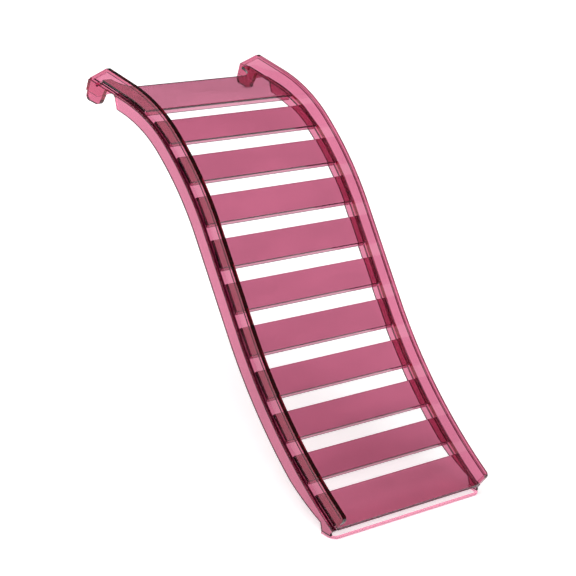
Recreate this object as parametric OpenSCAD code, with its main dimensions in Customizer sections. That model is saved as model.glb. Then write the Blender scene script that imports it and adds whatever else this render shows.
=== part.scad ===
// Small-pet cage ramp: two moulded side rails with hooks, eleven flat treads and a foot bar.
// Origin: on the floor, midway between the rails, straight below the front edge of the lowest tread.
// X runs across the ramp, Y runs back towards the hooks, Z is up.

/* [Overall] */
// Width over the outer faces of the two rails
overall_width = 120; // [100:1:160]
// Height of the lowest tread's front edge above the floor
foot_rise = 6; // [5:0.5:10]
// Wall thickness of the guards, the ledges and the treads
wall = 1.4; // [1.2:0.1:2]

/* [Curve] */
// Slope at the lowest tread, in degrees
foot_slope = 27.5; // [20:0.5:35]
// Slope of the steep straight run, in degrees
steep_slope = 48.2; // [40:0.1:55]
// Slope where the upper bend tightens, in degrees
shoulder_slope = 32; // [28:0.5:38]
// Slope of the top platform at the hooks, in degrees
platform_slope = 4.8; // [0:0.1:10]
// Radius of the lower bend
lower_radius = 300; // [200:5:400]
// Length of the steep straight run
steep_length = 54.3; // [30:0.1:80]
// Radius of the start of the upper bend
shoulder_radius = 180; // [120:5:240]
// Radius of the tight part of the upper bend
crest_radius = 74; // [60:1:100]
// Length of the straight run at the hooks
platform_run = 30; // [26:0.2:36]

/* [Rail section] */
// Height of the guard above the treads
guard_height = 7.6; // [5:0.1:12]
// Height of the thick rim along the guard
rim_height = 1.6; // [1:0.1:3]
// Width of the thick rim across the ramp
rim_width = 2.9; // [2:0.1:3.9]
// Depth of the skirt's lower edge below the treads
skirt_depth = 8.3; // [6:0.1:9]
// Thickness of the skirt wall
skirt_wall = 1.5; // [1.2:0.1:2]
// How far the skirt's outer face stands outside the guard's inner face
skirt_offset = 3.9; // [3:0.1:5]

/* [Treads] */
// Spacing of the treads along the curve
tread_pitch = 23.1; // [20:0.1:28]
// Spacing between the two lowest treads
first_pitch = 27.8; // [24:0.1:32]
// Depth of an ordinary tread along the curve
tread_depth = 14.5; // [12:0.1:18]
// Depth of the lowest tread along the curve
foot_tread_depth = 19.9; // [16:0.1:22]
// Depth of the turned-down lip at a tread's front edge
lip_depth = 2.7; // [2:0.1:4]
// Thickness of the lip on an ordinary tread
lip_wall = 0.8; // [0.6:0.1:2]
// Thickness of the lowest tread between the guards
foot_tread_wall = 1.9; // [1.4:0.1:2.4]
// Depth of the lip on the top platform
platform_lip_depth = 3.6; // [2:0.1:5]
// Thickness of the lip on the top platform
platform_lip_wall = 1; // [0.6:0.1:3]
// Clearance round a tread's tongue in its slot
tongue_clearance = 0.05; // [0.02:0.01:0.15]
// Gap between a tongue and the ledge under it
seat_gap = 0.02; // [0.01:0.01:0.05]
// Lean of the lips from plumb, in degrees
lip_lean = 17; // [0:1:30]

/* [Platform] */
// Distance of the platform's straight rear edge from the origin
platform_back = 204; // [198:0.2:208]
// Radius of the two rear inside corners of the platform
corner_radius = 10; // [6:0.5:18]
// Width of each rear arm of the platform
arm_width = 6; // [4:0.5:14]
// Distance of the arms' rear ends from the origin
arm_back = 214; // [210:0.5:218]

/* [Hooks] */
// Distance of the hook's rear face from the origin
hook_back = 221; // [215:0.5:225]
// Length of the bevel on the hook's top rear corner, measured back
bevel_length = 9.8; // [6:0.1:12]
// Height of the bevel on the hook's top rear corner
bevel_height = 8.6; // [6:0.1:12]
// Distance of the top of the prong's front face from the origin
prong_front = 208.8; // [206:0.1:212]
// Height of the prong's lower end above the floor
prong_bottom = 145.2; // [140:0.1:150]
// Radius of the prong's lower corners
prong_corner = 2.6; // [1:0.1:4]
// Lean of the prong's front face from plumb, in degrees
prong_lean = 10; // [6:1:20]
// Diameter of the hole through each prong
hole_diameter = 2.2; // [1.5:0.1:3]
// Distance of the prong hole from the origin
hole_y = 214.2; // [211:0.1:216]
// Height of the prong hole above the floor
hole_z = 155.6; // [152:0.1:158]
// Distance of the skirt's upper rear corner from the origin
skirt_back = 200.6; // [196:0.1:204]
// Lean of the skirt's rear end from plumb, in degrees
skirt_lean = 30; // [0:1:45]

/* [Foot] */
// Depth of the foot bar along the ramp
bar_depth = 1.2; // [1:0.1:3]
// Height of the foot bar and its legs
bar_height = 1.4; // [1.2:0.1:3]
// How far the foot bar's front face stands ahead of the origin
bar_front = 0.9; // [0:0.1:1.5]
// Outer radius of the bar's bend into each leg, seen from above
bar_corner = 4.5; // [2:0.1:6]
// Distance of the foot pad's front end from the origin
pad_front = 1.3; // [0:0.1:3]
// Distance of the foot pad's rear end from the origin
pad_back = 7.2; // [5:0.1:10]
// Height at which the pad's rear end meets the skirt
pad_rise = 5.2; // [3:0.1:6]
// Radius of the skirt's lower edge as it runs into the foot
foot_blend_radius = 140; // [100:5:200]
// Radius of the guard's front top corner
guard_corner = 2.4; // [1:0.1:4]

/* [Hidden] */
$fn = 144;
// Half the overall width
half_width = overall_width / 2;
// Inner face of a guard
guard_in = half_width - skirt_offset;
// Outer face of a guard
guard_out = guard_in + wall;
// Outer face of a rim
rim_out = guard_in + rim_width;
// Inner face of a skirt
skirt_in = half_width - skirt_wall;
// Signed radii of the curve's runs from the foot up: 0 is straight, negative bends downwards
run_radius = [lower_radius, 0, -shoulder_radius, -crest_radius, 0];
// Slope at the start of each run and at the end of the last
run_slope = [foot_slope, steep_slope, steep_slope, shoulder_slope, platform_slope, platform_slope];
// Arc length of a degree on a circle of radius one
degree = PI / 180;
// Lengths of the runs
run_length = [
    lower_radius * (steep_slope - foot_slope) * degree,
    steep_length,
    shoulder_radius * (steep_slope - shoulder_slope) * degree,
    crest_radius * (shoulder_slope - platform_slope) * degree,
    platform_run
];
runs = len(run_length);
last_run = runs - 1;
treads = 11;
top_tread = treads - 1;
// Turn of the curve from one chord of it to the next, in degrees
chord_turn = 0.75;
// Closest that two ends of chords may lie
least = 0.001;
// A cut's overrun past the surface it cuts
over = 1;
// A size larger than the whole ramp
far = 400;

// Distance along the curve at which run i starts
function run_start(i) = i == 0 ? 0 : run_start(i - 1) + run_length[i - 1];
// Where a run of signed radius r, starting at p with slope a, has got to after a length l
function advance(p, a, r, l) = r == 0
    ? p + l * [cos(a), sin(a)]
    : let (b = a + l / r / degree) p + r * [sin(b) - sin(a), cos(a) - cos(b)];
// Point at which run i starts
function run_point(i) = i == 0
    ? [0, foot_rise]
    : advance(run_point(i - 1), run_slope[i - 1], run_radius[i - 1], run_length[i - 1]);
// Slope of run i at a length l from its start
function slope_in(i, l) = run_radius[i] == 0 ? run_slope[i] : run_slope[i] + l / run_radius[i] / degree;
// The run that holds the distance s
function run_at(s, i = 0) = i == last_run || s < run_start(i + 1) ? i : run_at(s, i + 1);
// Point and slope of the walking surface at the distance s
function path_point(s) = let (i = run_at(s))
    advance(run_point(i), run_slope[i], run_radius[i], s - run_start(i));
function path_slope(s) = let (i = run_at(s)) slope_in(i, s - run_start(i));
// Distance along the curve at which a point of the last straight run has the distance y from the origin
function along_at(y) = run_start(last_run) + (y - run_point(last_run)[0]) / cos(platform_slope);
// Distance along the curve of the front edge of tread k, counted from the foot
function tread_front(k) = k == 0 ? 0 : first_pitch + (k - 1) * tread_pitch;
// Depth of tread k along the curve
function depth_of(k) = k == 0 ? foot_tread_depth : tread_depth;

total_length = run_start(last_run) + platform_run;
skirt_end = along_at(skirt_back);
arm_end = along_at(arm_back);
hook_end = along_at(hook_back);
// Height of the walking surface at the hook's rear face
hook_surface = path_point(hook_end)[1];
// Side view of the bevel's two ends, as (distance back, height)
bevel_top = [
    hook_back - bevel_length,
    path_point(along_at(hook_back - bevel_length))[1] + guard_height / cos(platform_slope)
];
bevel_foot = [hook_back, bevel_top[1] - bevel_height];
// Slope of the lower edge where it leaves the foot pad
foot_edge_slope = 19;

// Number of chords that a run is drawn with
function chords(i) = run_radius[i] == 0
    ? 1
    : ceil(abs(run_length[i] / run_radius[i]) / degree / chord_turn);
// Distances along the curve of every chord's end
knots = [
    for (i = [0 : last_run])
        for (c = [1 : chords(i)])
            run_start(i) + run_length[i] * c / chords(i)
];
// The knots between s0 and s1, with s0 and s1 themselves
function stations(s0, s1) = [s0, for (s = knots) if (s > s0 + least && s < s1 - least) s, s1];
// Side view of the point at the height h above the walking surface at the distance s
function above(s, h) = let (a = path_slope(s)) path_point(s) + h * [-sin(a), cos(a)];
// Outline of the band between the heights h0 and h1, from s0 to s1
function band(h0, h1, s0, s1) = let (walk = stations(s0, s1), ends = len(walk) - 1)
    concat([for (s = walk) above(s, h1)], [for (i = [ends : -1 : 0]) above(walk[i], h0)]);

// A flat shape drawn as (distance back, height), made solid from x0 to x1 across
module plate(x0, x1) {
    translate([x0, 0, 0])
        rotate([90, 0, 90])
            linear_extrude(height = x1 - x0)
                children();
}

// A strip that follows the curve, from x0 to x1 across
module strip(x0, x1, h0, h1, s0, s1) {
    plate(x0, x1)
        polygon(band(h0, h1, s0, s1));
}

// Places the frame (height above the walking surface, across, along) at p with slope a
module at_path(p, a) {
    multmatrix([
        [0, 1, 0, 0],
        [-sin(a), 0, cos(a), p[0]],
        [cos(a), 0, sin(a), p[1]],
        [0, 0, 0, 1]
    ])
        children();
}

// The same frame at the middle of tread k, level with its flat top
module at_tread(k) {
    front = path_point(tread_front(k));
    chord = path_point(tread_front(k) + depth_of(k)) - front;
    at_path(front + chord / 2, atan2(chord[1], chord[0]))
        children();
}

// Side view of the prong: a leaning front face and rounded lower corners
module prong_shape() {
    top = hook_surface - 1.8 * wall;
    lean = (top - prong_bottom) * tan(prong_lean);
    hull() {
        translate([prong_front, top - wall / 2])
            square([hook_back - prong_front, wall / 2]);
        for (y = [prong_front + lean + prong_corner, hook_back - prong_corner]) {
            translate([y, prong_bottom + prong_corner])
                circle(r = prong_corner);
        }
    }
}

// The rim turned down the bevel and the rear face of the hook
module hook_rim() {
    bevel_run = norm([bevel_length, bevel_height]);
    plate(guard_in, rim_out) {
        translate([hook_back - rim_height, hook_surface - 1.8 * wall])
            square([rim_height + over, bevel_foot[1] - hook_surface + 1.8 * wall]);
        translate(bevel_foot)
            rotate(-atan2(bevel_height, bevel_length))
                translate([-bevel_run, -rim_height])
                    square([bevel_run + over, rim_height + over]);
    }
}

// What is cut away behind the bevel and the hook's rear face
module hook_trim() {
    beyond_top = bevel_foot + 1.5 * (bevel_top - bevel_foot);
    plate(guard_in - over, half_width + over)
        polygon([
            bevel_foot,
            beyond_top,
            [hook_back + platform_run, beyond_top[1]],
            [hook_back + platform_run, prong_bottom - over],
            [hook_back, prong_bottom - over]
        ]);
}

// What is cut away behind the skirt's leaning rear end
module skirt_end_cut() {
    translate([0, skirt_back, path_point(skirt_end)[1] - 2 * wall])
        rotate([-skirt_lean, 0, 0])
            translate([skirt_in - over, 0, -far / 8])
                cube([skirt_wall + 2 * over, far / 8, far / 8 + 2 * over]);
}

// What is cut off the ledge behind the skirt, where only the hook's arm goes on
module ledge_end_cut() {
    at_path(path_point(skirt_end), platform_slope)
        translate([-far / 20, rim_out, over / 2])
            cube([far / 10, skirt_offset, far]);
}

// What is cut away ahead of the rail's front end
module front_cut() {
    at_path(path_point(0), foot_slope)
        translate([-far / 20, guard_in - over, -far / 10])
            cube([far / 10, skirt_offset + 2 * over, far / 10]);
}

// What is cut away below the skirt's lower edge as it runs into the foot
module foot_relief() {
    reach = foot_blend_radius * 0.25;
    edge_start = [pad_back + 2, pad_rise];
    blend_centre = edge_start + foot_blend_radius * [-sin(foot_edge_slope), cos(foot_edge_slope)];
    plate(skirt_in - over, half_width + over) {
        difference() {
            translate([pad_back, -reach])
                square([reach, 1.6 * reach]);
            translate(blend_centre)
                circle(r = foot_blend_radius, $fn = 360);
        }
        translate([-reach, -reach])
            square([2 * reach, reach + bar_height]);
    }
}

// Side view of the foot pad, which stands on a leg of the foot bar and runs up into the skirt
module pad_shape() {
    rise = pad_rise - bar_height;
    polygon([
        [pad_front, bar_height],
        [pad_back, bar_height],
        [pad_back + 3, bar_height + 1.5 * rise],
        [pad_front + wall, foot_rise - 0.8 * wall]
    ]);
}

// What is cut away to round the guard's front top corner
module guard_corner_cut() {
    at_path(path_point(0), foot_slope)
        rotate([90, 0, 0])
            linear_extrude(height = far, center = true)
                difference() {
                    translate([guard_height - guard_corner, -over])
                        square(guard_corner + over);
                    translate([guard_height - guard_corner, guard_corner])
                        circle(r = guard_corner);
                }
}

// The slots that the treads' tongues pass through
module tongue_slots() {
    for (k = [0 : top_tread - 1]) {
        back = depth_of(k) / 2 + tongue_clearance;
        front = k == 0 ? back + over : back;
        at_tread(k)
            translate([-wall, guard_in - over, -front])
                cube([wall + tongue_clearance, skirt_offset + 2 * over, front + back]);
    }
    slot_front = tread_front(top_tread) - tongue_clearance;
    strip(guard_in - over, half_width + over, -wall, tongue_clearance, slot_front, skirt_end);
}

// The guard with its thick rim and the ledge below it
module guard() {
    strip(guard_in, guard_out, -1.5 * wall, guard_height - rim_height / 2, -over, total_length);
    strip(guard_in, rim_out, guard_height - rim_height, guard_height, -over, total_length);
    strip(guard_in, rim_out, -1.5 * wall, guard_height - rim_height / 2, -over, rim_height);
    difference() {
        strip(guard_in, half_width, -2 * wall, -wall - seat_gap, -over, total_length);
        ledge_end_cut();
    }
}

module skirt() {
    difference() {
        strip(skirt_in, half_width, -skirt_depth, -1.7 * wall, -over, total_length);
        skirt_end_cut();
        foot_relief();
    }
}

// The right-hand rail
module rail() {
    plate(skirt_in, half_width)
        pad_shape();
    difference() {
        union() {
            guard();
            skirt();
            hook_rim();
            plate(guard_in, rim_out)
                prong_shape();
        }
        front_cut();
        tongue_slots();
        hook_trim();
        guard_corner_cut();
        translate([guard_in - over, hole_y, hole_z])
            rotate([0, 90, 0])
                cylinder(h = rim_width + 2 * over, d = hole_diameter);
    }
}

module right_rail() {
    color([0.75, 0.35, 0.48])
        rail();
}

module left_rail() {
    color([0.75, 0.35, 0.48])
        mirror([1, 0, 0])
            rail();
}

// Side view of a lip that hangs from the tread's front edge p
module lip_shape(p, drop, thickness) {
    translate(p)
        rotate(lip_lean)
            translate([0, -drop])
                square([thickness, drop]);
}

// Side view of the lowest tread between the guards: thicker, with a leaning front face and no lip
module foot_tread_shape() {
    front = path_point(0);
    back = path_point(foot_tread_depth);
    chord = back - front;
    slope = atan2(chord[1], chord[0]);
    face_lean = slope - lip_lean;
    face_length = foot_tread_wall / cos(face_lean);
    polygon([
        front,
        back,
        back + foot_tread_wall * [sin(slope), -cos(slope)],
        front + face_length * [sin(lip_lean), -cos(lip_lean)]
    ]);
}

// A flat tread with its front edge between the guards and a tongue at each end
module tread(k) {
    depth = depth_of(k);
    lip_edge = guard_in - tongue_clearance;
    color([0.78, 0.40, 0.52]) {
        at_tread(k)
            translate([-wall, -guard_out, -depth / 2])
                cube([wall, 2 * guard_out, depth]);
        plate(-lip_edge, lip_edge) {
            if (k == 0)
                foot_tread_shape();
            else
                lip_shape(path_point(tread_front(k)), lip_depth, lip_wall);
        }
    }
}

// What the platform loses between its two rear arms
module platform_opening() {
    inner = guard_in - arm_width;
    straight = inner - corner_radius;
    translate([0, 0, hook_surface - far / 20])
        linear_extrude(height = far / 10) {
            translate([-straight, platform_back])
                square([2 * straight, far]);
            translate([-inner, platform_back + corner_radius])
                square([2 * inner, far]);
            for (x = [-straight, straight]) {
                translate([x, platform_back + corner_radius])
                    circle(r = corner_radius);
            }
        }
}

// The top platform, which follows the bend and reaches back beside the hooks
module platform() {
    front = tread_front(top_tread);
    lip_edge = guard_in - tongue_clearance;
    color([0.78, 0.40, 0.52]) {
        difference() {
            strip(-guard_in, guard_in, -wall, 0, front, arm_end);
            platform_opening();
        }
        strip(-guard_out, -guard_in, -wall, 0, front, skirt_end - tongue_clearance);
        strip(guard_in, guard_out, -wall, 0, front, skirt_end - tongue_clearance);
        plate(-lip_edge, lip_edge)
            lip_shape(path_point(front), platform_lip_depth, platform_lip_wall);
    }
}

// Outline of the foot bar's U, seen from above, drawn in by the distance d across and e from the front
module bar_outline(d, e, r) {
    x = half_width - d;
    y = e - bar_front;
    translate([r - x, y])
        square([2 * x - 2 * r, pad_back - y + e]);
    translate([-x, y + r])
        square([2 * x, pad_back - y - r + e]);
    for (side = [r - x, x - r]) {
        translate([side, y + r])
            circle(r = r);
    }
}

// A flat bar across the foot that bends back into a leg under each pad
module foot_bar() {
    color([0.80, 0.45, 0.56])
        linear_extrude(height = bar_height)
            difference() {
                bar_outline(0, 0, bar_corner);
                bar_outline(skirt_wall, bar_depth, bar_corner - bar_depth);
            }
}

module tread_01() { platform(); }
module tread_02() { tread(9); }
module tread_03() { tread(8); }
module tread_04() { tread(7); }
module tread_05() { tread(6); }
module tread_06() { tread(5); }
module tread_07() { tread(4); }
module tread_08() { tread(3); }
module tread_09() { tread(2); }
module tread_10() { tread(1); }
module tread_11() { tread(0); }

left_rail();
right_rail();
foot_bar();
tread_01();
tread_02();
tread_03();
tread_04();
tread_05();
tread_06();
tread_07();
tread_08();
tread_09();
tread_10();
tread_11();
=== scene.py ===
"""Looks for the small-pet cage ramp: clear rose plastic rails and treads in soft studio light."""

import math

import bpy
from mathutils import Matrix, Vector


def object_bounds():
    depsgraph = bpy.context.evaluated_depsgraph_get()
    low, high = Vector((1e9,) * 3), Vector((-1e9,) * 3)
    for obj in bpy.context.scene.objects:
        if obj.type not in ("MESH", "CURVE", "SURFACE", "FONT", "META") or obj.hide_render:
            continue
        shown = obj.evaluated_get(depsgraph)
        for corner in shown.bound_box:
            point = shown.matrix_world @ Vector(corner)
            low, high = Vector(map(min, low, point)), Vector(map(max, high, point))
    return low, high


MM = 0.001

# The camera, which stands at the left of the foot and looks down on the ramp.
CAMERA_PLACE = (-0.96272158, -0.62313779, 0.54166289)
CAMERA_TURN = (68.46792707, -13.05327573, -47.66640558)
CAMERA_LENS = 156.25
SENSOR_WIDTH = 36
CLIP_START = 0.05

# What clear rose plastic takes from red, green and blue in each metre of depth,
# and what its two faces let through together.
TREAD_DEPTH_LOSS = (180, 680, 480)
TREAD_FACE_TINT = (0.66, 0.38, 0.47)
THICK_DEPTH_LOSS = (120, 460, 330)
THICK_FACE_TINT = (0.72, 0.42, 0.52)
RAIL_DEPTH_LOSS = (80, 330, 230)
RAIL_FACE_TINT = (0.70, 0.30, 0.42)
BAR_FACE_TINT = (0.92, 0.55, 0.66)
# The loss is written as this density and a colour, so it is above the largest loss.
DENSITY = 700
PLASTIC_IOR = 1.5
# How much the faces mirror, on a scale where this plastic would have 0.5.
PLASTIC_GLOSS = 0.2

# Flow marks run along the rails, and across the ramp in the treads, so they are stretched that way.
ALONG_RAIL = (1, 0.4, 0.4)
ALONG_TREAD = (0.3, 1, 1)
CLOUDS_PER_METRE = 55
CLOUD_EDGES = (0.35, 0.65)
LIGHT_CLOUD = 1.05
DARK_CLOUD = 0.93

# Wear: polished plastic, duller rubbed patches, and fine scratches that run across the ramp.
POLISHED = 0.035
RUBBED = 0.12
PATCHES_PER_METRE = 28
PATCH_EDGES = (0.42, 0.7)
SCRATCHED = 0.08
SCRATCH_STRETCH = (40, 700, 700)
SCRATCH_SCALE = 9
SCRATCH_EDGES = (0.62, 0.72)

# Surface: round moulded corners and a slight ripple.
EDGE_RADIUS = 0.2 * MM
EDGE_SAMPLES = 6
RIPPLES_PER_METRE = 190
RIPPLE_DEPTH = 0.05 * MM
RIPPLE_STRENGTH = 0.12

# Painted shade: a dark band on the left rail only, in place of the dark look that thick clear plastic gets
# from light bent and trapped inside it. It covers upward faces between two distances from the middle: the
# ledge outside the guard, and also most of the rim's top. It fades at each side and leaves out steep faces.
PAINTED_SHADE_INNER = 57.4 * MM
PAINTED_SHADE_OUTER = 59.1 * MM
INNER_FADE = 0.1 * MM
OUTER_FADE = 0.15 * MM
LEVEL_ENOUGH = (0.45, 0.5)
PAINTED_SHADE_COLOUR = (0.02, 0.0, 0.002, 1)

# The surround is bright, with one darker side, so that the treads mirror little of it.
DARK_SIDE = (0.87, 0.05, 0.5)
DARK_STARTS = 0.1
DARK_ENDS = 0.75
BRIGHT_WALL = 1.1
DARK_WALL = 0.08
WALL_COLOUR = (1, 0.99, 0.985, 1)

# The floor is a lit table, so that the shadow on it stays faint.
FLOOR_SIZE = 12
FLOOR_COLOUR = (0.93, 0.925, 0.925, 1)
FLOOR_GLOW = 0.5
FLOOR_ROUGHNESS = 0.9
FLOOR_GLOSS = 0.1

# The lamps: where each stands, how wide it is, and its power in watts.
KEY_PLACE = (-0.9, 0.4, 2.6)
KEY_SIZE = 2.2
KEY_POWER = 20
FRONT_PLACE = (-1.35, -0.95, 0.95)
FRONT_SIZE = 0.35
FRONT_POWER = 7


def sock(node, name):
    """One input of a node."""
    return node.inputs[name]


def new_material(name):
    """An empty node material and a function that adds nodes to it."""
    material = bpy.data.materials.new(name)
    material.use_nodes = True
    tree = material.node_tree
    tree.nodes.clear()

    def add(kind, **values):
        node = tree.nodes.new(kind)
        for key, value in values.items():
            setattr(node, key, value)
        return node

    return material, tree, add


def noise(tree, add, place, scale, detail, roughness=0.5):
    """The value of a noise texture at a place."""
    node = add("ShaderNodeTexNoise")
    sock(node, "Scale").default_value = scale
    sock(node, "Detail").default_value = detail
    sock(node, "Roughness").default_value = roughness
    tree.links.new(place, sock(node, "Vector"))
    return node.outputs["Fac"]


def remap(tree, add, value, low, high, to_low, to_high):
    """A value moved from one range to another, and kept within it."""
    node = add("ShaderNodeMapRange", clamp=True)
    settings = {"From Min": low, "From Max": high, "To Min": to_low, "To Max": to_high}
    for name, number in settings.items():
        sock(node, name).default_value = number
    tree.links.new(value, sock(node, "Value"))
    return node.outputs["Result"]


def stretched(tree, add, place, scale):
    """A place with its three axes scaled, for scratches and flow marks that run one way."""
    node = add("ShaderNodeMapping")
    sock(node, "Scale").default_value = scale
    tree.links.new(place, sock(node, "Vector"))
    return node.outputs["Vector"]


def times(tree, add, first, second):
    """Two values multiplied."""
    node = add("ShaderNodeMath", operation="MULTIPLY")
    tree.links.new(first, node.inputs[0])
    tree.links.new(second, node.inputs[1])
    return node.outputs["Value"]


def painted_shade_mask(tree, add, place):
    """1 on the left rail's upward faces within the band of painted shade, and 0 elsewhere."""
    across = add("ShaderNodeSeparateXYZ")
    tree.links.new(place, across.inputs[0])
    up = add("ShaderNodeSeparateXYZ")
    tree.links.new(add("ShaderNodeNewGeometry").outputs["True Normal"], up.inputs[0])
    inside = remap(tree, add, across.outputs["X"], -PAINTED_SHADE_OUTER, -PAINTED_SHADE_OUTER + OUTER_FADE, 0, 1)
    outside = remap(tree, add, across.outputs["X"], -PAINTED_SHADE_INNER, -PAINTED_SHADE_INNER + INNER_FADE, 1, 0)
    upward = remap(tree, add, up.outputs["Z"], *LEVEL_ENOUGH, 0, 1)
    return times(tree, add, times(tree, add, inside, outside), upward)


def clear_plastic(name, tint, loss, flow, with_painted_shade=False):
    """Moulded clear plastic: even tint in its depth, faint flow marks, rubbed patches and fine scratches,
    and if asked a band of painted shade.
    """
    material, tree, add = new_material(name)
    link = tree.links.new
    place = add("ShaderNodeTexCoord").outputs["Object"]

    # Colour: slow clouds of tint, as the melt left them.
    clouds = noise(tree, add, stretched(tree, add, place, flow), CLOUDS_PER_METRE, 4)
    colour = add("ShaderNodeMix", data_type="RGBA")
    link(remap(tree, add, clouds, *CLOUD_EDGES, 0, 1), sock(colour, "Factor"))
    colour.inputs["A"].default_value = (*[min(1, part * LIGHT_CLOUD) for part in tint], 1)
    colour.inputs["B"].default_value = (*[part * DARK_CLOUD for part in tint], 1)

    tinted = colour.outputs["Result"]
    # Painted shade: a dark band mixed into the tint, standing in for the dark look of thick clear plastic.
    if with_painted_shade:
        painted_shade_mix = add("ShaderNodeMix", data_type="RGBA")
        link(painted_shade_mask(tree, add, place), sock(painted_shade_mix, "Factor"))
        link(tinted, painted_shade_mix.inputs["A"])
        painted_shade_mix.inputs["B"].default_value = PAINTED_SHADE_COLOUR
        tinted = painted_shade_mix.outputs["Result"]

    # Wear: rubbed patches are a little duller, and fine scratches cross them.
    patches = noise(tree, add, place, PATCHES_PER_METRE, 5, 0.6)
    scratches = noise(tree, add, stretched(tree, add, place, SCRATCH_STRETCH), SCRATCH_SCALE, 2)
    roughness = add("ShaderNodeMath", operation="ADD")
    link(remap(tree, add, patches, *PATCH_EDGES, POLISHED, RUBBED), roughness.inputs[0])
    link(remap(tree, add, scratches, *SCRATCH_EDGES, 0, SCRATCHED), roughness.inputs[1])

    # Surface: moulded corners are round, flat faces ripple very slightly.
    corners = add("ShaderNodeBevel", samples=EDGE_SAMPLES)
    sock(corners, "Radius").default_value = EDGE_RADIUS
    ripple = noise(tree, add, stretched(tree, add, place, flow), RIPPLES_PER_METRE, 2)
    bump = add("ShaderNodeBump")
    sock(bump, "Strength").default_value = RIPPLE_STRENGTH
    sock(bump, "Distance").default_value = RIPPLE_DEPTH
    link(ripple, sock(bump, "Height"))
    link(corners.outputs["Normal"], sock(bump, "Normal"))

    surface = add("ShaderNodeBsdfPrincipled")
    sock(surface, "IOR").default_value = PLASTIC_IOR
    sock(surface, "Specular IOR Level").default_value = PLASTIC_GLOSS
    sock(surface, "Transmission Weight").default_value = 1
    link(tinted, sock(surface, "Base Color"))
    link(roughness.outputs["Value"], sock(surface, "Roughness"))
    link(bump.outputs["Normal"], sock(surface, "Normal"))

    depth = add("ShaderNodeVolumeAbsorption")
    sock(depth, "Color").default_value = (*[1 - part / DENSITY for part in loss], 1)
    sock(depth, "Density").default_value = DENSITY

    output = add("ShaderNodeOutputMaterial")
    link(surface.outputs["BSDF"], sock(output, "Surface"))
    link(depth.outputs["Volume"], sock(output, "Volume"))
    return material


def dress(node_object, material):
    """Gives a CAD node its material in place of the plain one."""
    for slot in node_object.material_slots:
        slot.material = material


def make_floor():
    """A wide pale floor that the ramp's foot stands on."""
    bpy.ops.mesh.primitive_plane_add(size=FLOOR_SIZE, location=(0, 0, 0))
    floor = bpy.context.active_object
    floor.name = "floor"
    material, tree, add = new_material("floor_paper")
    surface = add("ShaderNodeBsdfPrincipled")
    sock(surface, "Base Color").default_value = FLOOR_COLOUR
    sock(surface, "Emission Color").default_value = FLOOR_COLOUR
    sock(surface, "Emission Strength").default_value = FLOOR_GLOW
    sock(surface, "Roughness").default_value = FLOOR_ROUGHNESS
    sock(surface, "Specular IOR Level").default_value = FLOOR_GLOSS
    output = add("ShaderNodeOutputMaterial")
    tree.links.new(surface.outputs["BSDF"], sock(output, "Surface"))
    floor.data.materials.append(material)


def make_lamp(name, place, aim, size, power):
    """A soft square lamp that points from its place at an aim."""
    lamp = bpy.data.lights.new(name, "AREA")
    lamp.shape = "SQUARE"
    lamp.size = size
    lamp.energy = power
    holder = bpy.data.objects.new(name, lamp)
    holder.location = place
    holder.rotation_euler = (Vector(aim) - Vector(place)).to_track_quat("-Z", "Y").to_euler()
    bpy.context.scene.collection.objects.link(holder)


def make_world():
    """A bright surround that fades to dark towards the ramp's right and up."""
    world = bpy.data.worlds.new("studio")
    bpy.context.scene.world = world
    world.use_nodes = True
    tree = world.node_tree
    place = tree.nodes.new("ShaderNodeTexCoord").outputs["Generated"]
    towards = tree.nodes.new("ShaderNodeVectorMath")
    towards.operation = "DOT_PRODUCT"
    towards.inputs[1].default_value = DARK_SIDE
    tree.links.new(place, towards.inputs[0])
    fade = tree.nodes.new("ShaderNodeMapRange")
    fade.interpolation_type = "SMOOTHSTEP"
    settings = {
        "From Min": DARK_STARTS,
        "From Max": DARK_ENDS,
        "To Min": BRIGHT_WALL,
        "To Max": DARK_WALL,
    }
    for name, number in settings.items():
        sock(fade, name).default_value = number
    tree.links.new(towards.outputs["Value"], sock(fade, "Value"))
    back = tree.nodes["Background"]
    sock(back, "Color").default_value = WALL_COLOUR
    tree.links.new(fade.outputs["Result"], sock(back, "Strength"))


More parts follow.
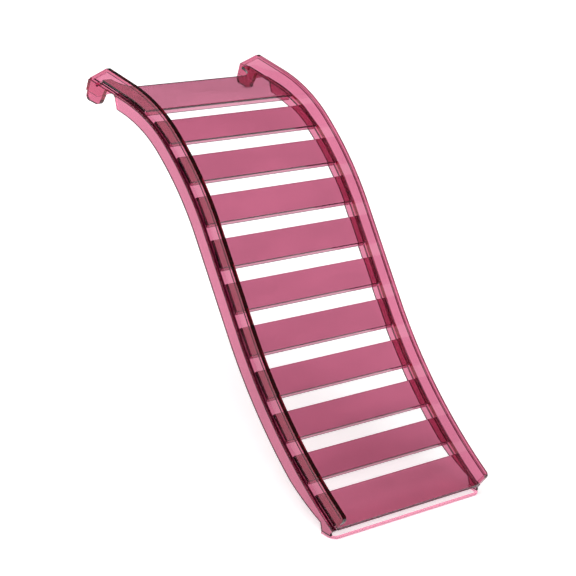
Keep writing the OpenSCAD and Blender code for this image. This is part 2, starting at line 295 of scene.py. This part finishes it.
def make_camera():
    """The camera, set as the scene's own."""
    camera = bpy.data.cameras.new("camera")
    camera.lens = CAMERA_LENS
    camera.sensor_width = SENSOR_WIDTH
    camera.clip_start = CLIP_START
    holder = bpy.data.objects.new("camera", camera)
    holder.location = CAMERA_PLACE
    holder.rotation_euler = [math.radians(angle) for angle in CAMERA_TURN]
    bpy.context.scene.collection.objects.link(holder)
    bpy.context.scene.camera = holder


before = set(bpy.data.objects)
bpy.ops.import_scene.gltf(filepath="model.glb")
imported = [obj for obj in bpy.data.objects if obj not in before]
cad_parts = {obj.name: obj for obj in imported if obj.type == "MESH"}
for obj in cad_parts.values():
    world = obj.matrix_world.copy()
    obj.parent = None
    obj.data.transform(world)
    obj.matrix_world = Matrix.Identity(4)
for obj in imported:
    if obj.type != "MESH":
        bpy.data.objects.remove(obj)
cad_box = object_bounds()

bpy.context.scene.view_settings.view_transform = "Standard"

make_camera()
make_world()
make_floor()
middle = (cad_box[0] + cad_box[1]) / 2
make_lamp("key", KEY_PLACE, middle, KEY_SIZE, KEY_POWER)
make_lamp("front", FRONT_PLACE, middle, FRONT_SIZE, FRONT_POWER)

rail_plastic = clear_plastic("rail_plastic", RAIL_FACE_TINT, RAIL_DEPTH_LOSS, ALONG_RAIL)
# The left rail's plastic carries the band of painted shade.
near_rail_painted_shade_plastic = clear_plastic(
    "near_rail_painted_shade_plastic", RAIL_FACE_TINT, RAIL_DEPTH_LOSS, ALONG_RAIL, with_painted_shade=True
)
thick_plastic = clear_plastic("thick_plastic", THICK_FACE_TINT, THICK_DEPTH_LOSS, ALONG_TREAD)
tread_plastic = clear_plastic("tread_plastic", TREAD_FACE_TINT, TREAD_DEPTH_LOSS, ALONG_TREAD)
bar_plastic = clear_plastic("bar_plastic", BAR_FACE_TINT, RAIL_DEPTH_LOSS, ALONG_TREAD)

# The nodes that aren't ordinary treads.
special = {
    "left_rail": near_rail_painted_shade_plastic,
    "right_rail": rail_plastic,
    "foot_bar": bar_plastic,
    "tread_01": thick_plastic,
    "tread_11": thick_plastic,
}
for name, node_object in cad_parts.items():
    dress(node_object, special.get(name, tread_plastic))
